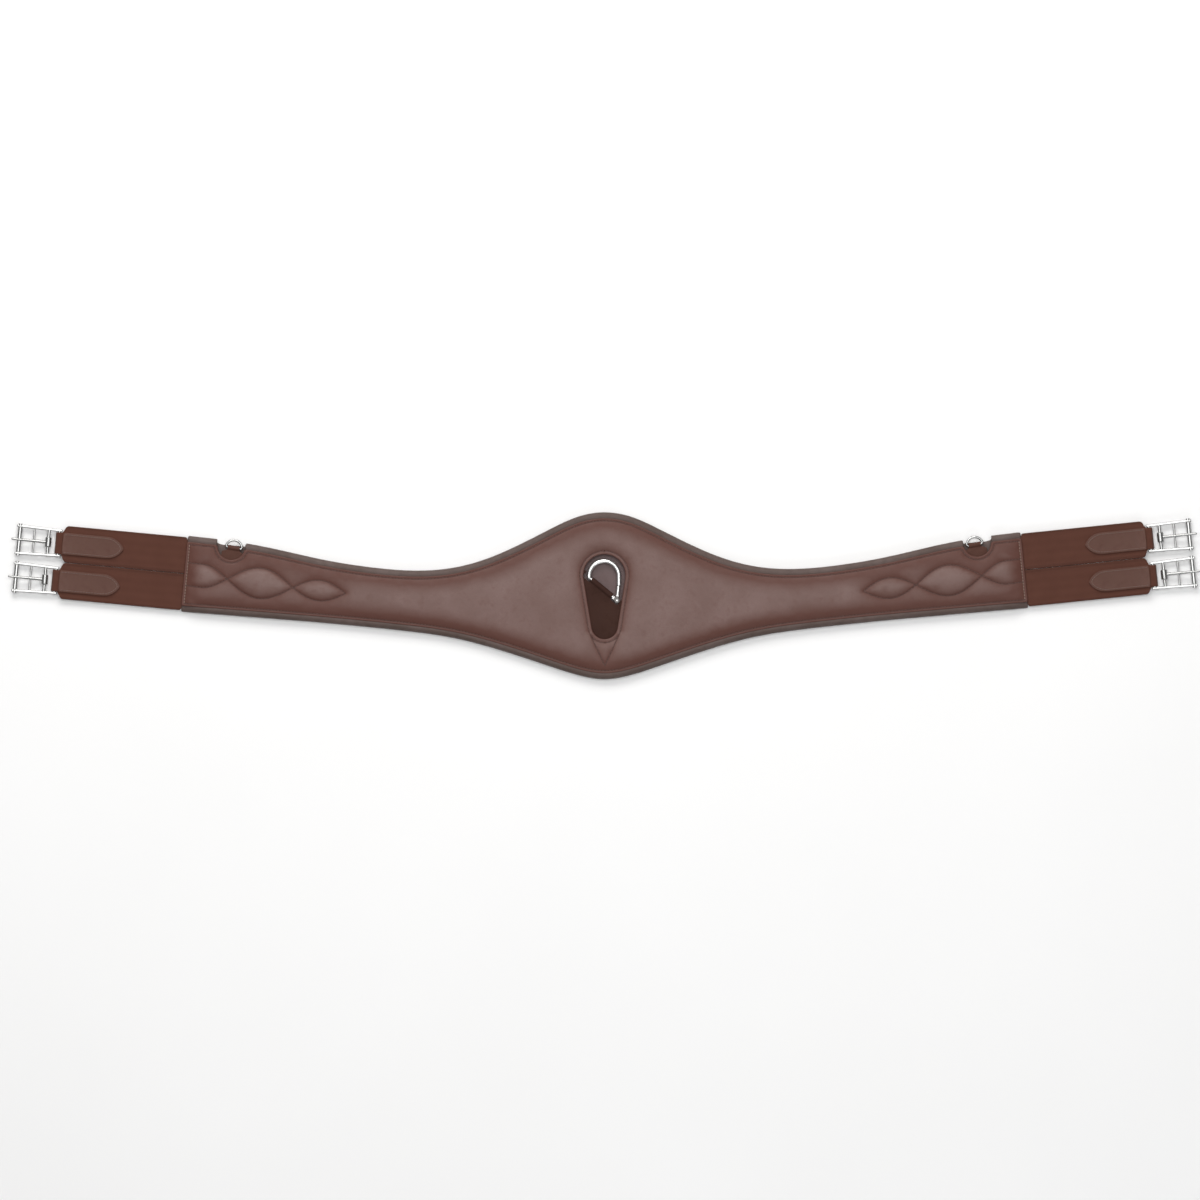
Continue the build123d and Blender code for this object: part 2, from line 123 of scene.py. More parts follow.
elastic_half = 19.05
web_spread = 0.4  # the pair of webs nearly touch along the middle
elastic_thickness = 1.6
elastic_z = 4.5
root_start = -18.0
root_tuck = 6.0  # inside the body, the web's outer edge turns in this far, clear of the rim
return_end = 95.0
narrow_from, narrow_over = 129.3, 2.4  # where the web narrows to fit between the buckle's rails
web_corner = 0.7
loop_start = 124.0
rear_bar = 136.5
bar_z = 3.7
fold_radius = 2.7
fold_half = 11.5
tab_start = 67.0
tab_end = 134.2
tab_thickness = 1.8
tab_corner = 0.6
tab_arch = 18.0
tab_stitch_inset = 2.0
tab_tip_stations = (67.0, 67.4, 68.0, 69.0, 70.4, 72.0, 74.0, 76.5, 79, 82)
tab_tip_end = 83.5


# ---------------------------------------------------------------- curves in the plane
def clamped_cubic(points, end_slope):
    """A smooth y(x) through the points, level at the first and with a slope at the last."""
    x, y = np.array(points, float).T
    h = np.diff(x)
    rise = np.diff(y) / h
    count = len(x)
    matrix, known = np.zeros((count, count)), np.zeros(count)
    matrix[0, :2] = 2 * h[0], h[0]
    known[0] = 6 * rise[0]
    matrix[-1, -2:] = h[-1], 2 * h[-1]
    known[-1] = 6 * (end_slope - rise[-1])
    for i in range(1, count - 1):
        matrix[i, i - 1 : i + 2] = h[i - 1], 2 * (h[i - 1] + h[i]), h[i]
        known[i] = 6 * (rise[i] - rise[i - 1])
    bend = np.linalg.solve(matrix, known)

    def value(at):
        i = np.clip(np.searchsorted(x, at) - 1, 0, count - 2)
        a, b = x[i + 1] - at, at - x[i]
        return (
            (bend[i] * a**3 + bend[i + 1] * b**3) / (6 * h[i])
            + (y[i] / h[i] - bend[i] * h[i] / 6) * a
            + (y[i + 1] / h[i] - bend[i + 1] * h[i] / 6) * b
        )

    return value


front_y = clamped_cubic(front_edge, front_end_slope)
rear_y = clamped_cubic(rear_edge, rear_end_slope)


def resample(points, step):
    """The same line with evenly spaced points, its ends kept."""
    points = np.array(points, float)
    lengths = np.concatenate([[0], np.cumsum(np.linalg.norm(np.diff(points, axis=0), axis=1))])
    count = max(2, round(lengths[-1] / step) + 1)
    wanted = np.linspace(0, lengths[-1], count)
    return np.stack([np.interp(wanted, lengths, c) for c in points.T], axis=1)


def edge_line(side, inset, end_margin=0.0):
    """The right half of the front (1) or rear (-1) edge, moved in, from X = 0 to the pad's end."""
    x = np.arange(0, front_edge[-1][0] + 1.0, 1.0)
    y = (front_y if side > 0 else rear_y)(x)
    slope = np.gradient(y, x)
    slope[0] = 0.0
    inward = np.stack([slope, -np.ones_like(x)], axis=1) * side
    points = np.stack([x, y], axis=1) + inset * inward / np.hypot(1, slope)[:, None]
    beyond = (points - pad_end) @ along + end_margin
    last = np.argmax(beyond > 0)
    share = beyond[last - 1] / (beyond[last - 1] - beyond[last])
    stop = points[last - 1] + share * (points[last] - points[last - 1])
    return np.vstack([points[:last], stop])


def round_cutout(line, radius):
    """A front edge line led round the side ring's cut-out at a radius from its centre."""
    outside = np.linalg.norm(line - cutout, axis=1) > radius
    first, last = np.argmin(outside), len(line) - np.argmin(outside[::-1])
    a, b = line[first - 1] - cutout, line[last] - cutout
    start, stop = atan2(a[1], a[0]), atan2(b[1], b[0])
    start -= 2 * pi * (start > stop)
    angles = np.linspace(start, stop, 24)
    arc = cutout + radius * np.stack([np.cos(angles), np.sin(angles)], axis=1)
    return np.vstack([line[:first], arc, line[last:]])


def egg_line(margin):
    """The right half of the egg-shaped window, from its top to its bottom, widened by a margin."""
    (top_y, top_r), (bottom_y, bottom_r) = window_top, window_bottom
    lean = asin((top_r - bottom_r) / (top_y - bottom_y))
    top = np.linspace(pi / 2, -lean, 22)
    bottom = np.linspace(-lean, -pi / 2, 14)
    return np.vstack(
        [
            np.stack([np.cos(a), np.sin(a)], axis=1) * (r + margin) + (0, y)
            for a, r, y in ((top, top_r, top_y), (bottom, bottom_r, bottom_y))
        ]
    )


def vee_line():
    """From the window's stitching straight to the tip of the V below it."""
    radius = window_bottom[1] + window_stitch
    lean = asin(radius / (window_bottom[0] - vee_tip_y))
    touch = (radius * cos(lean), window_bottom[0] - radius * sin(lean))
    return np.array([touch, (0.0, vee_tip_y)])


def lobe_lines():
    """The two crossing lines that draw three lobes, from the tip to the end seam."""
    seam = pad_end - end_stitch * along
    knots = (lobe_tip, lobe_cross_far, lobe_cross_near, seam)
    lines = ([], [])
    for number, half in enumerate(lobe_half_heights):
        a, b = knots[number], knots[number + 1]
        square = np.array([-(b - a)[1], (b - a)[0]]) / np.linalg.norm(b - a)
        open_end = number == 2
        for share in np.linspace(0, 1, 40):
            lift = sin(pi / 2 * min(1, share / lobe_full_at)) if open_end else sin(pi * share)
            turn = -1 if number == 1 else 1
            for line, way in zip(lines, (turn, -turn)):
                line.append(a + share * (b - a) + way * half * lift * square)
    return [np.array(line) for line in lines]


def lobe_amount(points):
    """1 well inside a raised lobe, 0 outside."""
    knots = (lobe_tip, lobe_cross_far, lobe_cross_near, pad_end)
    amount = np.zeros(len(points))
    for number, half in enumerate(lobe_half_heights):
        a, b = knots[number], knots[number + 1]
        length = np.linalg.norm(b - a)
        d = (b - a) / length
        share = (points - a) @ d / length
        off = np.abs((points - a) @ np.array([-d[1], d[0]]))
        inside = (share > 0) & (share < 1)
        level = np.sin(pi * np.clip(share, 0, 1))
        if number == 2:
            level = np.sin(pi / 2 * np.clip(share / lobe_full_at, 0, 1))
        amount = np.where(inside & (off < half * level), 1.0, amount)
    return amount


# ---------------------------------------------------------------- meshes
def linked(name, data):
    """A new object in the scene."""
    obj = bpy.data.objects.new(name, data)
    bpy.context.scene.collection.objects.link(obj)
    return obj


def new_object(name, points, faces):
    """A mesh object from points in millimetres."""
    mesh = bpy.data.meshes.new(name)
    mesh.from_pydata((np.asarray(points) * MM).tolist(), [], faces)
    mesh.update()
    mesh.shade_smooth()
    return linked(name, mesh)


def mesh_from(bm, name):
    """A mesh from a bmesh, which is freed."""
    mesh = bpy.data.meshes.new(name)
    bm.to_mesh(mesh)
    bm.free()
    return mesh


def ring_faces(rings, around):
    """The faces that join closed rings of points, each to the next."""
    return [
        [
            i * around + k,
            i * around + (k + 1) % around,
            (i + 1) * around + (k + 1) % around,
            (i + 1) * around + k,
        ]
        for i in range(rings - 1)
        for k in range(around)
    ]


def tube_faces(rings, around, side, closed_start=True):
    """The faces of a tube and its ends, facing outwards on either side of the girth."""
    faces = ring_faces(rings, around)
    first, last = list(range(around)), [(rings - 1) * around + k for k in range(around)]
    if closed_start:
        faces.append(first[::-1])
    faces.append(last)
    return [face[::-1] for face in faces] if side > 0 else faces


def join(name, objects):
    """One object from several."""
    bm = bmesh.new()
    for obj in objects:
        bm.from_mesh(obj.data)
        mesh = obj.data
        bpy.data.objects.remove(obj)
        bpy.data.meshes.remove(mesh)
    mesh = mesh_from(bm, name)
    mesh.shade_smooth()
    return linked(name, mesh)


def apply_modifiers(obj):
    """Makes the modifiers' result the object's own mesh."""
    bpy.context.view_layer.update()
    graph = bpy.context.evaluated_depsgraph_get()
    mesh = bpy.data.meshes.new_from_object(obj.evaluated_get(graph))
    old = obj.data
    obj.modifiers.clear()
    obj.data = mesh
    bpy.data.meshes.remove(old)
    mesh.shade_smooth()


def solidified(obj, thickness, offset):
    """Adds a modifier that gives a sheet its thickness in millimetres."""
    solid = obj.modifiers.new("thickness", "SOLIDIFY")
    solid.thickness = thickness * MM
    solid.offset = offset


def rounded_off(obj):
    """One level of subdivision, applied together with the modifiers before it."""
    rounded = obj.modifiers.new("rounded", "SUBSURF")
    rounded.levels = 1
    apply_modifiers(obj)
    return obj


def mirrored(obj, name):
    """A left copy of a right half."""
    bm = bmesh.new()
    bm.from_mesh(obj.data)
    bmesh.ops.transform(bm, matrix=Matrix.Scale(-1, 4, (1, 0, 0)), verts=bm.verts)
    bmesh.ops.reverse_faces(bm, faces=bm.faces)
    mesh = mesh_from(bm, name)
    mesh.shade_smooth()
    return linked(name, mesh)


def both_halves(points, faces):
    """A right half's mesh joined to its mirror image at X = 0."""
    middle = np.abs(points[:, 0]) < 1e-4
    points = np.where(middle[:, None], points * (0, 1), points)
    image = np.where(middle, np.arange(len(points)), 0)
    image[~middle] = len(points) + np.arange(np.count_nonzero(~middle))
    faces = faces + [[int(image[k]) for k in face[::-1]] for face in faces]
    return np.vstack([points, points[~middle] * (-1, 1)]), faces


def half_of(obj, name, sign):
    """One side of a whole piece, cut at X = 0 and closed there."""
    bm = bmesh.new()
    bm.from_mesh(obj.data)
    other = [f for f in bm.faces if f.calc_center_median().x * sign < 0]
    bmesh.ops.delete(bm, geom=other, context="FACES")
    cut = [e for e in bm.edges if e.is_boundary]
    for edge in cut:
        edge.smooth = False
    bmesh.ops.edgeloop_fill(bm, edges=cut)
    return linked(name, mesh_from(bm, name))


def flat_uv(obj):
    """A UV map straight down, one unit to a centimetre."""
    mesh = obj.data
    layer = mesh.uv_layers.get("UVMap") or mesh.uv_layers.new(name="UVMap")
    where = np.array([v.co[:2] for v in mesh.vertices]) / MM / 10.0
    loops = np.zeros(len(mesh.loops), int)
    mesh.loops.foreach_get("vertex_index", loops)
    layer.data.foreach_set("uv", where[loops].astype(np.float32).ravel())


def beside(line, gap):
    """Points a gap to each side of a line."""
    run = np.gradient(line, axis=0)
    run /= np.linalg.norm(run, axis=1)[:, None]
    square = np.column_stack([-run[:, 1], run[:, 0]]) * gap
    return np.vstack([line + square, line - square])


def filled_region(boundary, lines, spacing, keep_off=0.62, groove=0.0):
    """A triangle mesh of a region: (points, triangles), its edges along the lines. With a
    groove width, each line also gets a row of points at that distance on each side."""
    boundary = np.asarray(boundary)
    points = [boundary]
    edges = []
    count = len(boundary)
    for line in lines:
        points.append(line)
        edges += [(count + i, count + i + 1) for i in range(len(line) - 1)]
        count += len(line)
    fixed = np.vstack(points)
    low, high = boundary.min(axis=0), boundary.max(axis=0)
    rows = np.arange(low[1], high[1], spacing * sin(pi / 3))
    grid = []
    for number, y in enumerate(rows):
        x = np.arange(low[0] + spacing * 0.5 * (number % 2), high[0], spacing)
        grid.append(np.stack([x, np.full_like(x, y)], axis=1))
    grid = np.vstack(grid)
    if groove:
        rows = np.vstack([beside(line, groove) for line in lines])
        clear = np.min([distance_to(rows, line) for line in lines], axis=0) > 0.93 * groove
        clear &= distance_to(rows, np.vstack([boundary, boundary[:1]])) > 0.5 * groove
        fixed = np.vstack([fixed, rows[clear & inside_polygon(rows, boundary)]])
    near = np.full(len(grid), np.inf)
    for point in fixed:
        near = np.minimum(near, np.hypot(grid[:, 0] - point[0], grid[:, 1] - point[1]))
    grid = grid[(near > keep_off * spacing) & inside_polygon(grid, boundary)]
    every = [Vector(p) for p in np.vstack([fixed, grid]).tolist()]
    loop = list(range(len(boundary)))
    verts, _, faces, _, _, _ = delaunay_2d_cdt(every, edges, [loop], 1, 1e-4)
    return np.array([v[:] for v in verts]), [list(f) for f in faces]


def inside_polygon(points, polygon):
    """Which points are inside a closed polygon."""
    inside = np.zeros(len(points), bool)
    x, y = points.T
    for a, b in zip(polygon, np.roll(polygon, -1, axis=0)):
        if a[1] == b[1]:
            continue
        crosses = (a[1] > y) != (b[1] > y)
        inside ^= crosses & (x < (b[0] - a[0]) * (y - a[1]) / (b[1] - a[1]) + a[0])
    return inside


def distance_to(points, line):
    """Each point's distance to a line of segments."""
    best = np.full(len(points), np.inf)
    for a, b in zip(line[:-1], line[1:]):
        d = b - a
        share = np.clip((points - a) @ d / max(d @ d, 1e-12), 0, 1)
        best = np.minimum(best, np.linalg.norm(points - a - share[:, None] * d, axis=1))
    return best


def stretched_skin(points, faces, target, reach, pinned, held):
    """Heights of a skin pulled tight over padding: it aims for a target height, is held
    down where it is pinned, and eases between the two over about reach millimetres."""
    tri = np.array(faces)
    p = points[tri]
    e = np.stack([p[:, 2] - p[:, 1], p[:, 0] - p[:, 2], p[:, 1] - p[:, 0]], axis=1)
    area = np.abs(e[:, 2, 0] * -e[:, 1, 1] + e[:, 2, 1] * e[:, 1, 0]) / 2 + 1e-9
    stiff = np.einsum("tik,tjk->tij", e, e) / (4 * area)[:, None, None]
    mass = np.bincount(tri.ravel(), np.repeat(area / 3, 3), len(points)) / reach**2
    free = ~pinned

    def push(h):
        pulled = np.einsum("tij,tj->ti", stiff, h[tri])
        return np.bincount(tri.ravel(), pulled.ravel(), len(points)) + mass * h

    height = np.where(pinned, held, target)
    residual = np.where(free, mass * target - push(height), 0.0)
    step = residual.copy()
    size = residual @ residual
    for _ in range(400):
        if size < 1e-10:
            break
        moved = np.where(free, push(step), 0.0)
        amount = size / (step @ moved)
        height = height + amount * step
        residual = residual - amount * moved
        new_size = residual @ residual
        step = residual + new_size / size * step
        size = new_size
    return height


def smooth_noise(points, scale, seed):
    """Smooth noise of about -1 to 1 at points in the plane, the same on both halves."""
    return np.array(
        [noise.noise(Vector((p[0] / scale, p[1] / scale, seed))) for p in points]
    )


def smoothstep(value):
    """An easing from 0 to 1, level at both ends."""
    value = np.clip(value, 0, 1)
    return value * value * (3 - 2 * value)


# ---------------------------------------------------------------- outer leather panel
def panel_seams():
    """The right half of every stitch line of the outer leather."""
    lobes = lobe_lines()
    front = round_cutout(
        edge_line(1, stitch_inset, end_stitch), cutout_radius + cutout_stitch
    )
    rear = edge_line(-1, stitch_inset, end_stitch)
    lines = {
        "front": front,
        "rear": rear,
        "window": egg_line(window_stitch),
        "vee": vee_line(),
        "lobe_a": lobes[0],
        "lobe_b": lobes[1],
        "end": np.array([rear[-1], front[-1]]),
    }
    return {name: resample(line, line_step) for name, line in lines.items()}


def build_panel(seams):
    """The outer leather, pillowed between its stitch lines, with the left half mirrored."""
    front = round_cutout(edge_line(1, rim_width), cutout_radius)
    rear = edge_line(-1, rim_width)
    window = egg_line(0)
    boundary = np.vstack(
        [
            resample(rear, line_step),
            resample([rear[-1], front[-1]], line_step)[1:-1],
            resample(front[::-1], line_step),
            resample([front[0], window[0]], line_step)[1:-1],
            resample(window, line_step),
            resample([window[-1], rear[0]], line_step)[1:-1],
        ]
    )
    points, faces = filled_region(boundary, list(seams.values()), panel_grid, 0.6, groove_half)
    points, faces = both_halves(points, faces)
    right = np.abs(points[:, 0])
    folded = np.column_stack([right, points[:, 1]])

    held = np.full(len(points), np.nan)
    gaps = {name: distance_to(folded, line) for name, line in seams.items()}
    for name, level in seam_heights.items():
        held = np.where(gaps[name] < on_seam, level, held)
    to_end = -(folded - pad_end) @ along
    end_ease = smoothstep(to_end / 16.0)
    held = np.where(gaps["end"] < on_seam, end_seam_height, held)
    pinned = ~np.isnan(held)
    held = np.where(pinned, end_hem_height + (held - end_hem_height) * end_ease, 0.0)

    target = padded_height + lobe_rise * lobe_amount(folded)
    edge_band = np.minimum(distance_to(folded, front), distance_to(folded, rear))
    target = np.where(edge_band < stitch_inset - rim_width, outside_seam_height, target)
    target = np.where(distance_to(folded, window) < window_stitch, window_lip_height, target)
    target = end_lip_height + (target - end_lip_height) * smoothstep((to_end - 1.0) / 20.0)
    height = stretched_skin(points, faces, target, skin_reach, pinned, held)

    soft = smoothstep((height - wavy_from) / wavy_over) * smoothstep(right / 30)
    for size, length, seed in skin_waves:
        height = height + size * soft * smooth_noise(points, length, seed)

    # the leather gathers a little where the end seam pulls it in
    t = (folded - pad_end) @ across
    gather = np.zeros(len(points))
    for side in (-1, 1):
        for centre in np.arange(-gather_half, gather_half + 1, gather_pitch):
            middle = centre + rng.uniform(-2, 2)
            width = rng.uniform(2.4, 4.2) * (1 + 0.02 * to_end)
            size = rng.uniform(0.5, 1.1) * (points[:, 0] * side > 0)
            gather += size * np.exp(-(((t - middle * (1 + 0.02 * to_end)) / width) ** 2))
    height = height + gather * smoothstep((to_end - 3.5) / 5) * np.exp(-to_end / 17)

    # each row of stitches sits in its own narrow groove
    nearest = np.min(list(gaps.values()), axis=0)
    groove = np.exp(-((nearest / groove_half) ** 2))
    height = height - groove_depth * groove

    panel = new_object("outer_leather", np.column_stack([points, height]), faces)
    edge_gap = np.minimum(gaps["front"], gaps["rear"])
    # painted light: less painted shade beside the window
    by_window = window_lift * smoothstep(1 - gaps["window"] / window_lift_width)
    relief = np.clip((height - relief_floor) / relief_span + by_window, 0, 1.05)
    # painted shade: the leather's colour is darkened in a band along the front and rear seams
    relief = np.clip(relief - seam_shade * smoothstep(1 - edge_gap / seam_shade_width), 0, 1)
    for name, values in (("relief", relief), ("groove", groove)):
        layer = panel.data.attributes.new(name, "FLOAT", "POINT")
        layer.data.foreach_set("value", values.astype(np.float32))
    solidified(panel, leather_thickness, -1)
    return rounded_off(panel)


# ---------------------------------------------------------------- lining with its rolled rim
rim_profile = [
    (rim_reach, 6.9), (8.2, 7.7), (6.4, 8.3), (4.6, rim_height), (2.9, 8.1), (1.4, 7.0), (0.4, 5.4),
    (0.0, 3.8), (0.3, 2.2), (1.1, 0.9), (2.6, 0.15), (5.0, 0.0), (rim_reach, 0.0),
]


def rim_tube(line, side):
    """A rolled rim along an edge line, as a tube that is open where it meets its mirror image."""
    line = resample(line, 2.2)
    near_middle = np.array([line[0] + (line[1] - line[0]) * s for s in (0.1, 0.4)])
    line = np.vstack([line[:1], near_middle, line[1:]])
    run = np.gradient(line, axis=0)
    if line[0][0] == 0:
        run[0] = (1, 0)
    run /= np.linalg.norm(run, axis=1)[:, None]
    inward = np.stack([run[:, 1], -run[:, 0]], axis=1) * side
    points = []
    for place, into in zip(line, inward):
        wave = 0.14 * noise.noise(Vector((place[0] / 7, place[1] / 7, 2.0)))
        wave += 0.22 * noise.noise(Vector((place[0] / 45, place[1] / 45, 5.0)))
        wave *= min(1, place[0] / 20)
        low = 1 - rim_flatten * smoothstep(1 + (place - pad_end) @ along / 18.0)
        for inset, z in rim_profile:
            swell = wave * (1 - inset / rim_reach) * (z / rim_height)
            xy = place + into * (inset - swell)
            points.append((*xy, max(0.0, z * low + swell * 0.6)))
    return points, tube_faces(len(line), len(rim_profile), side, closed_start=line[0][0] != 0)


def build_lining():
    """The right half of the lining: a soft floor, its rolled rim and the turned-in ends."""
    front, rear = edge_line(1, 0), edge_line(-1, 0)
    x = front[:, 0]
    near = front[x < cutout[0] - cutout_radius + 0.4]
    far = front[x > cutout[0] + cutout_radius - 0.4]
    pieces = []
    for number, (line, side) in enumerate(((near, 1), (far, 1), (rear, -1))):
        points, faces = rim_tube(line, side)
        pieces.append(new_object(f"rim_{number}", points, faces))

    floor_front, floor_rear = edge_line(1, floor_inset), edge_line(-1, floor_inset)
    left = floor_front[floor_front[:, 0] < cutout[0] - edge_notch_half]
    right = floor_front[floor_front[:, 0] > cutout[0] + edge_notch_half]
    dip = np.array([(left[-1][0], edge_notch_y - 2), (right[0][0], edge_notch_y + 2)])
    floor_line = np.vstack([left, dip, right])
    boundary = np.vstack(
        [
            resample(floor_rear, 4),
            resample([floor_rear[-1], floor_line[-1]], 4)[1:-1],
            floor_line[::-1][::3],
            resample([floor_line[0], floor_rear[0]], 4)[1:-1],
        ]
    )
    points, faces = filled_region(boundary, [], 7.0)
    floor = new_object("floor", np.column_stack([points, np.full(len(points), 0.1)]), faces)
    solidified(floor, floor_thickness, 1)
    apply_modifiers(floor)
    pieces.append(floor)

    # turned edge under the elastics at the pad's end
    ends = (rear[-1] + across * 4, front[-1] - across * 4)
    bar = resample(ends, 4)
    section = [(-4, 0.1), (-0.8, 0.1), (-0.1, 0.7), (0, 1.9), (-0.2, 3.1), (-0.9, 3.6), (-4, 3.6)]
    points = [(*(p + along * s), z) for p in bar for s, z in section]
    pieces.append(new_object("end_roll", points, ring_faces(len(bar), len(section))))

    # the wall of the ring's cut-out
    angles = np.linspace(radians(-176), radians(6), 40)
    wall = [
        (*(cutout + (cutout_radius + bulge) * np.array([cos(a), sin(a)])), z)
        for a in angles
        for z, bulge in ((0.6, 0.4), (3.0, 0.0), (6.0, 0.0), (8.6, 0.8))
    ]
    faces = [
        [i * 4 + k, (i + 1) * 4 + k, (i + 1) * 4 + k + 1, i * 4 + k + 1]
        for i in range(len(angles) - 1)
        for k in range(3)
    ]
    pieces.append(new_object("wall", wall, faces))
    return rounded_off(join("lining_right", pieces))


# ---------------------------------------------------------------- stitching
thread_sides = 6
# a stitch's (along, radius, lift), as shares of its length and of the thread's radius
thread_stations = (
    (-0.5, 0.25, -0.5), (-0.36, 0.85, -0.05), (0, 1, 0.12), (0.36, 0.85, -0.05), (0.5, 0.25, -0.5)
)
stitch_slant, slant_spread = radians(7), radians(1.5)
cast_height = 0.05  # metres, above everything that is sewn


def stitch_template():
    """One stitch lying along X: a short thread that dives at both ends."""
    points = [
        (x, r * cos(2 * pi * k / thread_sides), r * sin(2 * pi * k / thread_sides) + lift)
        for x, r, lift in thread_stations
        for k in range(thread_sides)
    ]
    return np.array(points), tube_faces(len(thread_stations), thread_sides, -1)


def sew(name, lines, surface, pitch=3.5, length=2.9, radius=0.42):
    """Stitches along lines in the plane, laid on a surface, as one object."""
    shape, shape_faces = stitch_template()
    tree = BVHTree.FromObject(surface, bpy.context.evaluated_depsgraph_get())
    points, faces = [], []
    for line in lines:
        line = np.asarray(line)
        total = np.linalg.norm(np.diff(line, axis=0), axis=1).sum()
        even = resample(line, total / max(1, round(total / pitch)))
        for a, b in zip(even[:-1], even[1:]):
            middle = (a + b) / 2
            run = (b - a) / np.linalg.norm(b - a)
            turn = stitch_slant + rng.normal(0, slant_spread)
            run = np.array(
                [run[0] * cos(turn) - run[1] * sin(turn), run[0] * sin(turn) + run[1] * cos(turn)]
            )
            ends = []
            for sign in (-0.5, 0.5):
                spot = middle + run * length * sign * 0.8
                above = Vector((*(spot * MM), cast_height))
                hit = tree.ray_cast(above, Vector((0, 0, -1)))[0]
                ends.append(hit.z / MM if hit else None)
            if None in ends:
                continue
            slope = (ends[1] - ends[0]) / (length * 0.8)
            base = len(points) * len(shape)
            x, y, z = (shape * (length, radius, radius)).T
            placed = np.column_stack(
                [
                    middle[0] + run[0] * x - run[1] * y,
                    middle[1] + run[1] * x + run[0] * y,
                    sum(ends) / 2 + slope * x + z + radius * 0.25,
                ]
            )
            points.append(placed)
            faces += [[base + k for k in f] for f in shape_faces]
    return new_object(name, np.vstack(points), faces)


# ---------------------------------------------------------------- straps
def strap_origin(side, row):
    """Where a strap leaves the pad, and its direction along and across."""
    start = pad_end + row * strap_pitch / 2 * across
    return np.array([side * start[0], start[1]]), np.array([side * along[0], along[1]])


def strap_point(side, row, s, t, z):
    """A point given along, across (towards the front edge) and up, as X, Y, Z."""
    origin, run = strap_origin(side, row)
    square = np.array([side * across[0], across[1]])
    return (*(origin + run * s + square * t), z)


def rounded_section(half_width, thickness, corner, shift=0.0):
    """A flat band's section as (across, up), rounded at its edges."""
    section = []
    for sign_t, sign_z, start in ((1, 1, 0), (-1, 1, 90), (-1, -1, 180), (1, -1, 270)):
        for angle in (0, 30, 60, 90):
            a = radians(start + angle)
            section.append(
                (
                    shift + sign_t * (half_width - corner) + corner * cos(a),
                    sign_z * (thickness / 2 - corner) + corner * sin(a),
                )
            )
    return section


def band(side, row, name, path, halves, thickness, corner, shifts=None):
    """A flat band swept along a path of (along, up, lean) in a strap's upright plane."""
    points, uv = [], []
    walked = 0.0
    last = None
    shifts = shifts or [0.0] * len(path)
    for (s, z, lean), half, shift in zip(path, halves, shifts):
        if last is not None:
            walked += float(np.hypot(s - last[0], z - last[1]))
        last = (s, z)
        section = rounded_section(half, thickness, min(corner, half * 0.8), shift)
        mid = half * 0.5
        section = (
            section[:4] + [(mid, thickness / 2), (0, thickness / 2), (-mid, thickness / 2)]
            + section[4:12] + [(-mid, -thickness / 2), (0, -thickness / 2), (mid, -thickness / 2)]
            + section[12:]
        )
        for t, up in section:
            points.append(strap_point(side, row, s - up * sin(lean), t, z + up * cos(lean)))
            uv.append((walked / 10, t / 10))
    obj = new_object(name, points, tube_faces(len(path), len(section), side))
    layer = obj.data.uv_layers.new(name="UVMap")
    loops = np.zeros(len(obj.data.loops), int)
    obj.data.loops.foreach_get("vertex_index", loops)
    layer.data.foreach_set("uv", np.array(uv, np.float32)[loops].ravel())
    return obj


def fold_path(start, lift, turn_to, return_to=None):
    """Along a strap, up over the rear bar and round it, lift above the web's middle."""
    rise = (fold_radius + bar_z - elastic_z) / (rear_bar - loop_start)
    slope = atan2(rise, 1)
    radius = fold_radius + lift
    path = [(s, elastic_z + lift, 0.0) for s in np.linspace(start, loop_start - 4, 34)]
    for share in np.linspace(0, 1, 7):
        s = loop_start - 3 + share * (rear_bar - loop_start + 1)
        ease = smoothstep(share)
        z = elastic_z + lift + ease * (bar_z + fold_radius - elastic_z)
        path.append((s, z, slope * sin(pi * share)))
    for angle in np.linspace(0, turn_to, 14)[1:]:
        path.append((rear_bar + radius * sin(angle), bar_z + radius * cos(angle), -angle))
    if return_to is not None:
        below = elastic_z - elastic_thickness
        for share in np.linspace(0, 1, 7)[1:]:
            s = rear_bar - share * (rear_bar - loop_start + 3)
            z = bar_z - radius + smoothstep(share) * (below - bar_z + radius)
            path.append((s, z, -pi - slope * sin(pi * share)))
        path += [(s, below, -pi) for s in np.linspace(loop_start - 6, return_to, 6)]
    return path


def build_elastic(side, row, name):
    """The elastic web from its sewn root, round the buckle's bar and back below itself."""
    path = fold_path(root_start, 0.0, pi, return_to=return_end)
    at_seam = next(i for i, point in enumerate(path) if point[0] > 0)
    path[at_seam:at_seam] = [(-0.8, elastic_z, 0.0), (0.2, elastic_z, 0.0)]
    halves, shifts = [], []
    for s, _, _ in path:
        narrow = smoothstep((s - narrow_from) / narrow_over)
        tuck = root_tuck / 2 if s < 0 else 0.0
        halves.append(
            elastic_half - (elastic_half - fold_half) * narrow + web_spread * (1 - narrow) - tuck
        )
        shifts.append(-row * (web_spread * (1 - narrow) + tuck))
    return rounded_off(band(side, row, name, path, halves, elastic_thickness, web_corner, shifts))


def tab_half(s):
    """Half the leather tab's width along a strap: a pointed arch, then parallel."""
    share = np.clip((s - tab_start) / tab_arch, 0.0, 1.0)
    return max(0.25, float(fold_half * (1 - (1 - share) ** 2.1) ** 0.72))


def build_tab(side, row, name):
    """The leather tab over the web's end and over the fold."""
    lift = (elastic_thickness + tab_thickness) / 2
    path = [p for p in fold_path(tab_start, lift, 0.0) if p[0] < tab_end]
    fine = [(s, elastic_z + lift, 0.0) for s in tab_tip_stations]
    path = fine + [p for p in path if p[0] > tab_tip_end]
    halves = [tab_half(s) if i < len(fine) + 2 else fold_half for i, (s, _, _) in enumerate(path)]
    return rounded_off(band(side, row, name, path, halves, tab_thickness, tab_corner))


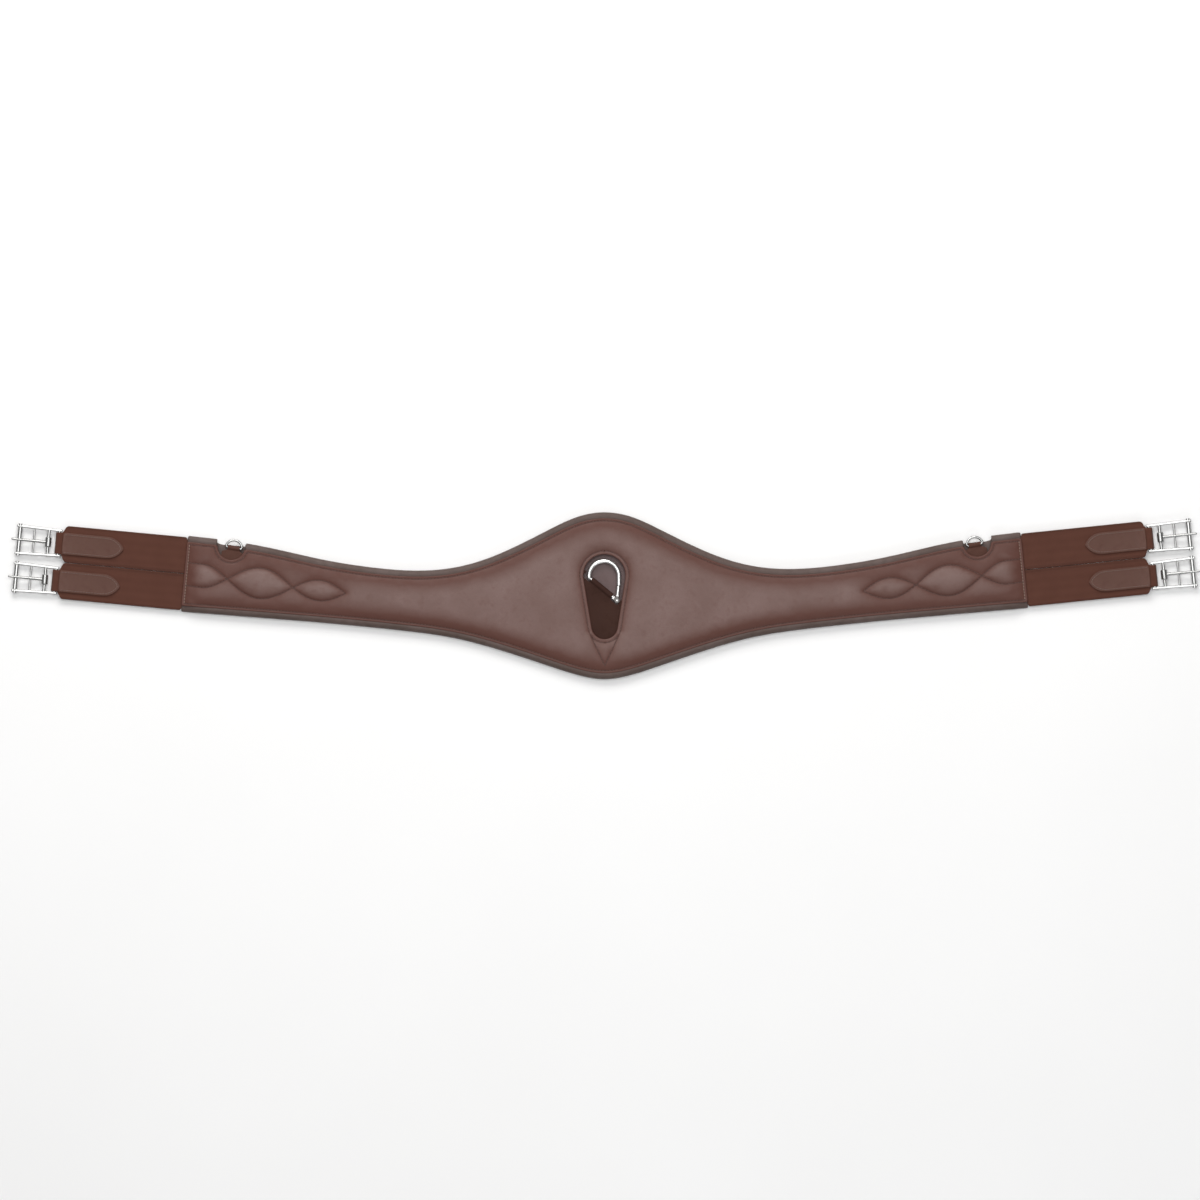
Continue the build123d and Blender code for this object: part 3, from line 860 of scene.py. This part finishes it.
def tab_stitch_line(side, row):
    """The stitch line inside the tab's edge, down one side and up the other."""
    stops = np.concatenate([np.linspace(loop_start + 6, 88, 12), np.linspace(86, 70.5, 14)])
    edge = [(s, max(0.0, tab_half(s - 1.2) - tab_stitch_inset)) for s in stops]
    line = edge + [(69.2, 0.0)] + [(s, -t) for s, t in edge[::-1]]
    return np.array([strap_point(side, row, s, t, 0)[:2] for s, t in line])


# ---------------------------------------------------------------- pieces softened from the design
def softened(node, name, voxel, rounds):
    """A soft copy of a leather piece of the design, its edges rounded."""
    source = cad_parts[node]
    mesh = source.data.copy()
    mesh.name = name
    mesh.materials.clear()
    obj = linked(name, mesh)
    remesh = obj.modifiers.new("remesh", "REMESH")
    remesh.mode = "VOXEL"
    remesh.voxel_size = voxel * MM
    relax = obj.modifiers.new("relax", "SMOOTH")
    relax.factor = 0.5
    relax.iterations = rounds
    apply_modifiers(obj)
    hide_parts(node)
    return obj


def build_bowl():
    """The window's leather floor, turned up all round under the panel."""
    half = egg_line(bowl_margin)
    boundary = np.vstack([half, (half * (-1, 1))[::-1][1:-1]])[::-1]
    points, faces = filled_region(resample(boundary, 2.5), [], 2.6)
    inner = egg_line(0)
    ring = np.vstack([inner, (inner * (-1, 1))[::-1]])
    outside = distance_to(points, ring) * np.where(inside_polygon(points, ring), -1, 1)
    height = 2.6 + 4.7 * smoothstep((outside + 1.2) / 6.5) + 0.25 * smooth_noise(points, 14, 1.7)
    bowl = new_object("window_floor", np.column_stack([points, height]), faces)
    rounded_off(bowl)
    flat_uv(bowl)
    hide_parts("window_backing")
    return bowl


# ---------------------------------------------------------------- materials
grain_depth = 0.00006
coat_roughness = 0.34
hook_pivot = (0.0132, -0.005, 0.0062)  # metres, where the gate turns
pivot_shade_from, pivot_shade_to = 0.0042, 0.0056  # metres from the pivot: full painted shade, and none


class Shader:
    """A material's node tree, written as small calls."""

    def __init__(self, name):
        self.material = bpy.data.materials.new(name)
        self.material.use_nodes = True
        self.tree = self.material.node_tree
        self.bsdf = self.tree.nodes["Principled BSDF"]

    def node(self, kind, inputs=(), **settings):
        made = self.tree.nodes.new(kind)
        for key, value in settings.items():
            setattr(made, key, value)
        for key, value in dict(inputs).items():
            self.put(made.inputs[key], value)
        return made

    def put(self, socket, value):
        if isinstance(value, bpy.types.NodeSocket):
            self.tree.links.new(value, socket)
        else:
            socket.default_value = value

    def set(self, **values):
        for key, value in values.items():
            self.put(self.bsdf.inputs[key.replace("_", " ")], value)

    def noise(self, vector, scale, detail=3.0, rough=0.5):
        inputs = {"Vector": vector, "Scale": scale, "Detail": detail, "Roughness": rough}
        return self.node("ShaderNodeTexNoise", inputs).outputs["Fac"]

    def fit(self, value, low, high, to_low, to_high):
        inputs = {0: value, 1: low, 2: high, 3: to_low, 4: to_high}
        return self.node("ShaderNodeMapRange", inputs, clamp=True).outputs[0]

    def mix(self, share, a, b):
        made = self.node("ShaderNodeMix", data_type="RGBA")
        self.put(made.inputs[0], share)
        self.put(made.inputs[6], a)
        self.put(made.inputs[7], b)
        return made.outputs[2]

    def math(self, operation, a, b=0.0):
        return self.node("ShaderNodeMath", {0: a, 1: b}, operation=operation).outputs[0]

    def bump(self, height, distance, strength=1.0, under=None):
        inputs = {"Height": height, "Distance": distance, "Strength": strength}
        if under is not None:
            inputs["Normal"] = under
        return self.node("ShaderNodeBump", inputs).outputs[0]


def rgb(r, g, b):
    """A colour socket's value."""
    return (r, g, b, 1.0)


def scaled(colour, share):
    """The same colour, darker or lighter."""
    return rgb(*[c * share for c in colour])


def leather(name, low, high, streak_and_shade, rough=0.45, coat=0.1, gloss=0.5, shade_by_relief=False):
    """Waxed leather: pores, fine creases and a slow drift of colour. With painted shade on, the
    leather is also painted darker and made duller where the relief attribute is low, and painted
    darkest in the groove attribute."""
    m = Shader(name)
    uv = m.node("ShaderNodeUVMap", uv_map="UVMap").outputs[0]
    slow = m.noise(uv, 0.22, 4.0)
    patch = m.noise(uv, 0.9, 5.0, 0.6)
    colour = m.mix(m.fit(slow, 0.35, 0.68, 0.0, 1.0), rgb(*low), rgb(*high))
    colour = m.mix(m.fit(patch, 0.52, 0.75, 0.0, 0.45), colour, rgb(*streak_and_shade))
    if shade_by_relief:
        # painted shade: where the relief attribute is low, the leather is painted in the dark
        # streak colour
        height = m.node("ShaderNodeAttribute", attribute_name="relief").outputs["Fac"]
        height = m.math("ADD", height, m.fit(patch, 0.3, 0.7, -0.16, 0.16))
        full = m.fit(height, 0.25, 0.98, 0.0, 1.0)
        colour = m.mix(full, rgb(*streak_and_shade), colour)
        # painted shade: the leather is painted darker in the stitch grooves
        groove = m.node("ShaderNodeAttribute", attribute_name="groove").outputs["Fac"]
        colour = m.mix(m.fit(groove, 0.5, 0.98, 0.0, 0.75), colour, scaled(streak_and_shade, 0.45))
    pores = m.node(
        "ShaderNodeTexVoronoi", {"Vector": uv, "Scale": 9.0}, feature="DISTANCE_TO_EDGE"
    ).outputs["Distance"]
    fine = m.noise(uv, 26.0, 4.0, 0.65)
    flat = m.fit(pores, 0.0, 0.16, 0.0, 1.0)
    colour = m.mix(m.fit(flat, 0.0, 1.0, 0.22, 0.0), colour, scaled(low, 0.55))
    m.set(Base_Color=colour)
    shine = m.fit(m.math("ADD", patch, fine), 0.7, 1.3, rough - 0.07, rough + 0.1)
    if shade_by_relief:
        shine = m.math("ADD", shine, m.math("MULTIPLY", m.math("SUBTRACT", 1.0, full), 0.22))
    m.set(Roughness=shine)
    m.set(Coat_Weight=coat)
    m.set(Coat_Roughness=coat_roughness)
    m.set(Specular_IOR_Level=gloss)
    normal = m.bump(flat, grain_depth, 0.55)
    m.set(Normal=m.bump(fine, grain_depth * 0.8, 0.5, normal))
    return m.material


# per centimetre of web, and the selvedge in centimetres from its middle
ribs_each, warps_each, stripes_each = 8.0, 11.0, 1.05
selvedge_from, selvedge_to = 1.62, 1.72


def woven(name, dark, light):
    """Girth elastic: fine cross ribs, warp lines and a darker selvedge."""
    m = Shader(name)
    uv = m.node("ShaderNodeUVMap", uv_map="UVMap").outputs[0]
    parts = m.node("ShaderNodeSeparateXYZ", {0: uv}).outputs
    ribs = m.math("SINE", m.math("MULTIPLY", parts[0], 2 * pi * ribs_each))
    warp = m.math("SINE", m.math("MULTIPLY", parts[1], 2 * pi * warps_each))
    weave = m.math("MULTIPLY", ribs, warp)
    wide = m.math("SINE", m.math("MULTIPLY", parts[1], 2 * pi * stripes_each))
    fuzz = m.noise(uv, 30.0, 5.0, 0.7)
    slow = m.noise(uv, 0.5, 3.0)
    shade = m.math("ADD", m.math("MULTIPLY", weave, 0.22), m.math("MULTIPLY", wide, 0.1))
    shade = m.math("ADD", shade, m.math("MULTIPLY", slow, 0.8))
    colour = m.mix(m.fit(shade, -0.1, 0.9, 0.0, 1.0), rgb(*dark), rgb(*light))
    edge = m.math("ABSOLUTE", parts[1])
    colour = m.mix(m.fit(edge, selvedge_from, selvedge_to, 0.0, 0.45), colour, scaled(dark, 0.7))
    colour = m.mix(m.fit(fuzz, 0.4, 0.8, 0.0, 0.35), colour, scaled(light, 1.35))
    m.set(Base_Color=colour)
    m.set(Roughness=0.86)
    m.set(Sheen_Weight=0.15)
    m.set(Sheen_Roughness=0.5)
    m.set(Specular_IOR_Level=0.2)
    height = m.math("ADD", m.math("MULTIPLY", weave, 0.6), m.math("MULTIPLY", ribs, 0.4))
    normal = m.bump(height, 0.00012, 0.7)
    m.set(Normal=m.bump(fuzz, 0.0001, 0.4, normal))
    return m.material


def steel(name, tint=(0.42, 0.42, 0.415), rough=0.12, shade_at=None):
    """Polished stainless steel with faint polishing marks and handling haze. With a place
    given, dark shade is painted round it."""
    m = Shader(name)
    where = m.node("ShaderNodeTexCoord").outputs["Object"]
    haze = m.noise(where, 260.0, 4.0, 0.6)
    marks = m.noise(where, 2600.0, 3.0, 0.7)
    colour = m.mix(m.fit(haze, 0.35, 0.7, 0.0, 0.35), rgb(*tint), scaled(tint, 0.84))
    if shade_at:
        # painted shade: the steel is painted nearly black round the gate's pivot
        away = m.node("ShaderNodeVectorMath", {0: where, 1: shade_at}, operation="DISTANCE")
        pivot_shade = m.fit(away.outputs["Value"], pivot_shade_from, pivot_shade_to, 0.92, 0.0)
        colour = m.mix(pivot_shade, colour, rgb(0.035, 0.03, 0.027))
    m.set(Base_Color=colour)
    m.set(Metallic=1.0)
    m.set(Roughness=m.fit(haze, 0.3, 0.75, rough - 0.04, rough + 0.12))
    m.set(Normal=m.bump(marks, 0.00001, 0.3))
    return m.material


def thread(name, colour):
    """Waxed linen thread."""
    m = Shader(name)
    where = m.node("ShaderNodeTexCoord").outputs["Object"]
    twist = m.noise(where, 900.0, 3.0, 0.6)
    shade = m.mix(m.fit(twist, 0.3, 0.7, 0.0, 1.0), scaled(colour, 0.7), rgb(*colour))
    m.set(Base_Color=shade)
    m.set(Roughness=0.6)
    m.set(Sheen_Weight=0.15)
    m.set(Normal=m.bump(twist, 0.00008, 0.6))
    return m.material


panel_leather = leather(
    "outer leather",
    (0.108, 0.046, 0.034), (0.142, 0.074, 0.062), (0.084, 0.024, 0.014),
    shade_by_relief=True,
)
lining_leather = leather(
    "lining leather",
    (0.074, 0.046, 0.038), (0.100, 0.068, 0.060), (0.05, 0.028, 0.021),
    rough=0.6, coat=0.0, gloss=0.4,
)
floor_leather = leather(
    "window leather",
    (0.078, 0.040, 0.038), (0.108, 0.064, 0.062), (0.05, 0.022, 0.018),
    rough=0.5, coat=0.05,
)
hook_leather = leather(
    "hook strap leather",
    (0.033, 0.012, 0.008), (0.044, 0.018, 0.012), (0.020, 0.007, 0.004),
    rough=0.8, coat=0.0, gloss=0.2,
)
ring_leather = leather(
    "ring tab leather",
    (0.066, 0.023, 0.014), (0.082, 0.031, 0.020), (0.040, 0.014, 0.008),
    rough=0.7, coat=0.0, gloss=0.3,
)
tab_leather = leather(
    "tab leather",
    (0.086, 0.034, 0.022), (0.104, 0.046, 0.033), (0.064, 0.019, 0.012),
    rough=0.5, coat=0.03, gloss=0.25,
)
elastic_web = woven("elastic web", (0.068, 0.023, 0.014), (0.092, 0.034, 0.022))
panel_thread = thread("panel thread", (0.085, 0.028, 0.018))
end_thread = thread("end thread", (0.26, 0.16, 0.12))
tab_thread = thread("tab thread", (0.17, 0.10, 0.08))
polished_steel = steel("polished steel")
tongue_steel = steel("hub steel", (0.36, 0.36, 0.355), 0.2)
hook_steel = steel("hook steel", (0.78, 0.78, 0.77), 0.3, hook_pivot)


def finish_with(obj, material, uv=False):
    """Gives a piece its material and slot, and a flat UV map where asked."""
    obj.data.materials.clear()
    obj.data.materials.append(material)
    if uv:
        flat_uv(obj)


# ---------------------------------------------------------------- assembly
sides = {"left": -1, "right": 1}
rows = {"front": 1, "rear": -1}

seams = panel_seams()
panel_whole = build_panel(seams)
flat_uv(panel_whole)
lining_right = build_lining()
flat_uv(lining_right)
main_lines = [line for name, line in seams.items() if name != "end"]
halves = {}
for side, sign in sides.items():
    mirror = (sign, 1)
    halves[side] = (
        half_of(panel_whole, f"outer_leather_{side}", sign),
        lining_right if sign > 0 else mirrored(lining_right, "lining_left"),
        sew(f"panel_stitching_{side}", [line * mirror for line in main_lines], panel_whole),
    )
    end_line = [seams["end"] * mirror]
    end_stitching = sew(
        f"end_stitching_{side}", end_line, panel_whole, pitch=3.2, length=2.5, radius=0.5
    )
    finish_with(end_stitching, end_thread)
    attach(end_stitching, f"{side}_arm")
bpy.data.objects.remove(panel_whole)
for side, sign in sides.items():
    panel, lining, stitching = halves[side]
    finish_with(panel, panel_leather)
    finish_with(lining, lining_leather)
    finish_with(stitching, panel_thread)
    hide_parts(f"{side}_arm_outer_leather", "guard_outer_leather")
    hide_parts(f"{side}_arm_webbing", "guard_webbing")
    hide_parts(f"{side}_arm_lining", "guard_lining", f"{side}_arm_foam", "guard_foam")
    for piece in (panel, lining, stitching):
        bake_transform(piece)

bowl = build_bowl()
finish_with(bowl, floor_leather)
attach(bowl, "guard")

hook_strap = softened("hook_strap", "hook_strap_leather", 0.55, 6)
finish_with(hook_strap, hook_leather, uv=True)
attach(hook_strap, "guard")

for side in sides:
    tab = softened(f"{side}_ring_tab", f"{side}_ring_tab_leather", 0.4, 5)
    finish_with(tab, ring_leather, uv=True)
    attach(tab, f"{side}_arm")

for side, sign in sides.items():
    for row, shift in rows.items():
        key = f"{side}_{row}"
        web = build_elastic(sign, shift, f"{key}_elastic_web")
        finish_with(web, elastic_web)
        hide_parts(f"{key}_elastic_root", f"{key}_elastic", f"{key}_elastic_loop")
        tab = build_tab(sign, shift, f"{key}_tab")
        finish_with(tab, tab_leather)
        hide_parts(f"{key}_leather_tab")
        tab_line = tab_stitch_line(sign, shift)
        stitches = sew(f"{key}_tab_stitching", [tab_line], tab, pitch=3.0, length=2.4, radius=0.32)
        finish_with(stitches, tab_thread)
        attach(tab, f"{key}_strap")
        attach(stitches, f"{key}_strap")
        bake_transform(web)

for name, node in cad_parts.items():
    if node.hide_render:
        continue
    material = tongue_steel if name.endswith("tongue") else polished_steel
    if name.startswith("snap_"):
        material = hook_steel
    node.data.materials.clear()
    node.data.materials.append(material)

# ---------------------------------------------------------------- stage, light, camera
floor_gap = 0.0004  # metres, keeps the floor clear of the underside
bpy.ops.mesh.primitive_plane_add(size=30, location=(0, 0, -floor_gap))
ground = bpy.context.object
ground.name = "floor"
paper = Shader("pale paper")
where = paper.node("ShaderNodeTexCoord").outputs["Object"]
paper_tint = paper.mix(paper.noise(where, 3.0), rgb(0.86, 0.86, 0.86), rgb(0.9, 0.9, 0.9))
paper.set(Base_Color=paper_tint)
paper.set(Roughness=0.9)
ground.data.materials.append(paper.material)


def area_light(name, place, size, power, colour=(1, 1, 1)):
    """A soft light aimed at the middle of the girth."""
    light = bpy.data.lights.new(name, "AREA")
    light.shape = "RECTANGLE"
    light.size, light.size_y = size
    light.energy = power
    light.color = colour
    obj = linked(name, light)
    obj.location = place
    obj.rotation_euler = (Vector((0, 0, 0)) - Vector(place)).to_track_quat("-Z", "Y").to_euler()


area_light("overhead", (0.0, 0.45, 3.0), (2.9, 1.9), 50)
area_light("front key", (-0.5, 2.6, 1.9), (2.6, 1.4), 78, (1.0, 0.985, 0.965))
area_light("rear edge", (0.9, -2.5, 1.6), (2.2, 0.8), 14, (0.96, 0.98, 1.0))

world = bpy.data.worlds.new("studio")
bpy.context.scene.world = world
world.use_nodes = True
sky = world.node_tree
aim = sky.nodes.new("ShaderNodeTexCoord")
height_of = sky.nodes.new("ShaderNodeSeparateXYZ")
walls = sky.nodes.new("ShaderNodeValToRGB")
walls.color_ramp.elements[0].position = 0.0
walls.color_ramp.elements[0].color = rgb(0.5, 0.5, 0.5)
walls.color_ramp.elements[1].position = 0.9
walls.color_ramp.elements[1].color = rgb(0.42, 0.42, 0.42)
for position, grey in ((0.12, 0.5), (0.3, 0.16), (0.6, 0.16)):
    walls.color_ramp.elements.new(position).color = rgb(grey, grey, grey)
sky.links.new(aim.outputs["Generated"], height_of.inputs[0])
sky.links.new(height_of.outputs[2], walls.inputs[0])
sky.links.new(walls.outputs[0], sky.nodes["Background"].inputs["Color"])
sky.nodes["Background"].inputs["Strength"].default_value = 1.0
bpy.context.scene.view_settings.view_transform = "Standard"

view_width = 1.279  # metres, what the camera sees across the floor
sensor = 36.0
camera_height = 6.0
camera_roll = radians(-0.25)
camera_data = bpy.data.cameras.new("camera")
camera_data.sensor_width = sensor
camera_data.lens = sensor * camera_height / view_width
camera = linked("camera", camera_data)
camera.location = (-0.0048, -0.0045, camera_height)
camera.rotation_euler = (0, 0, camera_roll)
bpy.context.scene.camera = camera
